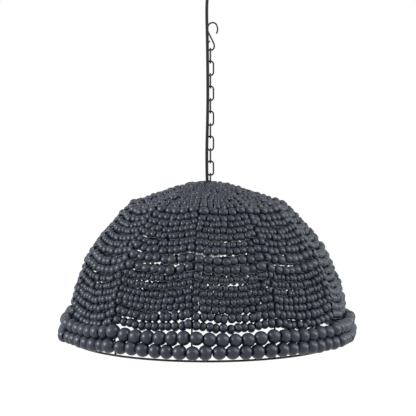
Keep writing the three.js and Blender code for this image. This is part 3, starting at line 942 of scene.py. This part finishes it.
def add_lamp():
    """The stem under the crown and the lamp holder on it."""
    add_turned("stem_pipe", pipe(STEM_BORE, STEM, *heights("lamp_stem")),
               "black_metal", "shade", "lamp_stem")
    add_turned("lead_wire", disc(LEAD, *heights("lamp_lead")),
               "cord_cover", "shade", "lamp_lead", LEAD_EASE, LEAD_SIDES)
    add_nut("holder_nut", "brass", "shade")
    low, high = heights("holder_cap")
    inner, middle = HOLDER - HOLDER_WALL, high - HOLDER_DOME_HEIGHT
    add_turned("holder_dome", [
        (BORE, high - HOLDER_WALL), (HOLDER_WAIST, high - HOLDER_WALL), (inner, middle), (inner, low),
        (HOLDER, low), (HOLDER, middle), (HOLDER_WAIST, high), (BORE, high),
    ], "black_plastic", "shade", "holder_cap", HOLDER_WALL)
    low, high = heights("lamp_holder")
    grooves = [
        (HOLDER - depth, high - (high - low) * (start + share))
        for start in GROOVE_STARTS for share, depth in GROOVE_STOPS
    ]
    add_turned("holder_sleeve", [
        (SOCKET, high - SOCKET_FLOOR), (SOCKET, low), (HOLDER, low), *grooves[::-1], (HOLDER, high),
        (SOCKET_HOLE, high), (SOCKET_HOLE, high - SOCKET_FLOOR),
    ], "black_plastic", "shade", "lamp_holder", SLEEVE_EASE)
    add_turned("contact_disc", disc(CONTACT, *heights("holder_contact")),
               "brass", "shade", "holder_contact")


# Bulb: a screw cap that tapers to its tip, and a globe whose glass runs up into the cap

NECK = 0.0132
CAP_THREAD_DEPTH = 0.0005
CAP_THREAD_PITCH = 0.0042
CAP_SHOULDER = 0.012
CAP_TAPER = 0.004
CAP_TIP = 0.005
CAP_TIP_HEIGHT = 0.003
GLOBE = 0.040
GLOBE_ANGLES = (0.02, 0.86 * math.pi)
GLOBE_STEPS = 30
GLOBE_SIDES = 64
GLASS_WALL = 0.0012
NECK_HANDLES = (0.008, 0.010)
NECK_STEPS = 8
# Nearer to the axis than this, the inside of the glass is this share as far out as the outside
POLE = 0.004
POLE_SHARE = 0.5


def add_bulb():
    """The bulb, which slides down out of its holder."""
    low, high = heights("bulb_cap")
    base = high - CAP_TIP_HEIGHT
    thread = ridged(NECK, CAP_THREAD_DEPTH, low, base - CAP_TAPER, CAP_THREAD_PITCH)
    tip = [(CAP_SHOULDER, base - CAP_TAPER / 2), (CAP_TIP, base), (CAP_TIP, high), (0, high)]
    points, faces = turn_profile([(0, low), *thread, *tip], TURNED_SIDES)
    add_piece("screw_cap", points, faces, "bulb_cap_metal", "bulb", ["bulb_cap"])
    low, high = heights("bulb_glass")
    middle = low + GLOBE
    angles = np.linspace(*GLOBE_ANGLES, GLOBE_STEPS)
    outer = [(GLOBE * math.sin(a), middle - GLOBE * math.cos(a)) for a in angles]
    last, slope = np.array(outer[-1]), unit(np.array(outer[-1]) - np.array(outer[-2]))
    end, above = np.array([NECK, high]), np.array([NECK, high - NECK_HANDLES[1]])
    for t in np.linspace(0, 1, NECK_STEPS + 1)[1:]:
        outer.append(tuple((1 - t) ** 3 * last + 3 * t * (1 - t) ** 2 * (last + NECK_HANDLES[0] * slope)
                           + 3 * t * t * (1 - t) * above + t ** 3 * end))
    inner = [
        (r - GLASS_WALL if r > POLE else r * POLE_SHARE, z + (GLASS_WALL if z < middle else 0))
        for r, z in outer
    ]
    points, faces = turn_profile([(0, low), *outer, *inner[::-1], (0, low + GLASS_WALL)], GLOBE_SIDES)
    add_piece("opal_globe", points, faces, "frosted_glass", "bulb", ["bulb_glass"])


# Ceiling fitting

CANOPY = 0.045
CANOPY_WALL = 0.0016
CANOPY_CORNER = 0.0032
CANOPY_EASE = 0.0015
CANOPY_SIDES = 64
NIPPLE_THREAD_DEPTH = 0.0004
NIPPLE_THREAD_PITCH = 0.0012
NIPPLE_SIDES = 32
# The cord grip's radii above its foot, each with how far it is under the top
GRIP_STOPS = [(0.008, 0.007), (0.008, 0.002), (0.0074, 0.0016), (0.0074, 0)]


def add_ceiling_fitting():
    """The canopy, and the nipple, nut and cord grip in its middle."""
    low, high = heights("ceiling_canopy")
    inner, flat = CANOPY - CANOPY_WALL, CANOPY - CANOPY_CORNER
    add_turned("ceiling_cup", [
        (BORE, low), (flat, low), (CANOPY, low + CANOPY_CORNER), (CANOPY, high), (inner, high),
        (inner, low + CANOPY_CORNER), (flat, low + CANOPY_WALL), (BORE, low + CANOPY_WALL),
    ], "black_metal", "root", "ceiling_canopy", CANOPY_EASE, CANOPY_SIDES)
    low, high = heights("canopy_nipple")
    thread = ridged(STEM, NIPPLE_THREAD_DEPTH, low, high, NIPPLE_THREAD_PITCH)
    points, faces = turn_profile([(STEM_BORE, low), *thread, (STEM_BORE, high)], NIPPLE_SIDES)
    add_piece("threaded_nipple", points, faces, "black_metal", "root", ["canopy_nipple"])
    add_nut("canopy_nut", "black_metal", "root")
    low, high = heights("canopy_cord_grip")
    side = [(radius, high - under) for radius, under in GRIP_STOPS]
    add_turned("cord_gland", [(0, low), (STEM, low), *side, (0, high)],
               "black_plastic", "root", "canopy_cord_grip")


BEVELS = {"mounting_bar": 0.0005, "crown_plate": 0.0003}


def add_bevels():
    """Small bevels on the two solids that keep their own shape."""
    for node, width in BEVELS.items():
        modifier = frame["nodes"][node].modifiers.new("edges", "BEVEL")
        modifier.width = width
        modifier.segments = 2
        modifier.limit_method = "ANGLE"


add_crown()
add_lamp()
add_bulb()
add_ceiling_fitting()
add_bevels()


# Floor, light and world

# The world's light on things. To the camera it is 1, which is white
AMBIENT = 0.25
FLOOR_COLOUR = (236, 236, 236)
FLOOR_REACH = 40
FLOOR_BELOW_RING = 1.8
# The glow that whitens the floor, and its share in what the camera sees of it
FLOOR_GLOW = 1.25
FLOOR_GLOW_SHARE = 0.8
# Each lamp's place to the right, back and above the ring, its size across and its power
LAMPS = [
    ("key", (-2.75, -1.05, 1.1), 0.9, 95),
    ("fill", (1.9, -1.5, 2.1), 1.0, 44),
    ("side", (2.9, -0.3, 0.9), 1.0, 44),
]
LAMP_COLOUR = (0.95, 0.975, 1)


def seen_share(tree):
    """1 for rays from the camera, from gloss and through glass, 0 for the light that falls on things."""
    path = tree.nodes.new("ShaderNodeLightPath")
    total = path.outputs["Is Camera Ray"]
    for name in ("Is Glossy Ray", "Is Transmission Ray"):
        either = tree.nodes.new("ShaderNodeMath")
        either.operation = "MAXIMUM"
        tree.links.new(total, either.inputs[0])
        tree.links.new(path.outputs[name], either.inputs[1])
        total = either.outputs[0]
    return total


def add_floor():
    """A pale floor, which looks white where no shadow falls on it."""
    mesh = bpy.data.meshes.new("floor")
    corners = [(x * FLOOR_REACH, y * FLOOR_REACH, RING_Z - FLOOR_BELOW_RING)
               for x, y in ((-1, -1), (1, -1), (1, 1), (-1, 1))]
    mesh.from_pydata(corners, [], [(0, 1, 2, 3)])
    floor = bpy.data.objects.new("floor", mesh)
    scene.collection.objects.link(floor)
    made = Surface("floor", FLOOR_COLOUR, 0.9, specular=0.1)
    glow = made.node("ShaderNodeEmission")
    glow.inputs["Strength"].default_value = FLOOR_GLOW
    mixed = made.node("ShaderNodeMixShader")
    made.link(scaled(made.tree, seen_share(made.tree), 0, FLOOR_GLOW_SHARE), mixed.inputs[0])
    made.link(made.shader.outputs[0], mixed.inputs[1])
    made.link(glow.outputs[0], mixed.inputs[2])
    made.link(mixed.outputs[0], made.tree.nodes["Material Output"].inputs["Surface"])
    mesh.materials.append(made.material)


def add_world():
    """Soft light all round, which looks white itself."""
    world = bpy.data.worlds.new("studio")
    scene.world = world
    world.use_nodes = True
    tree = world.node_tree
    background = tree.nodes["Background"]
    background.inputs["Color"].default_value = (1, 1, 1, 1)
    tree.links.new(scaled(tree, seen_share(tree), AMBIENT, 1), background.inputs["Strength"])


def add_lights():
    """Large round lamps that face the middle of the dome."""
    target = Vector((0, 0, RING_Z + DOME_HEIGHT / 2))
    for name, (x, y, above_ring), size, power in LAMPS:
        data = bpy.data.lights.new(name, "AREA")
        data.shape = "DISK"
        data.size = size
        data.energy = power
        data.color = LAMP_COLOUR
        lamp = bpy.data.objects.new(name, data)
        scene.collection.objects.link(lamp)
        lamp.location = (x, y, RING_Z + above_ring)
        lamp.rotation_euler = (target - lamp.location).to_track_quat("-Z", "Y").to_euler()


add_floor()
add_world()
add_lights()

scene.view_settings.view_transform = "Standard"
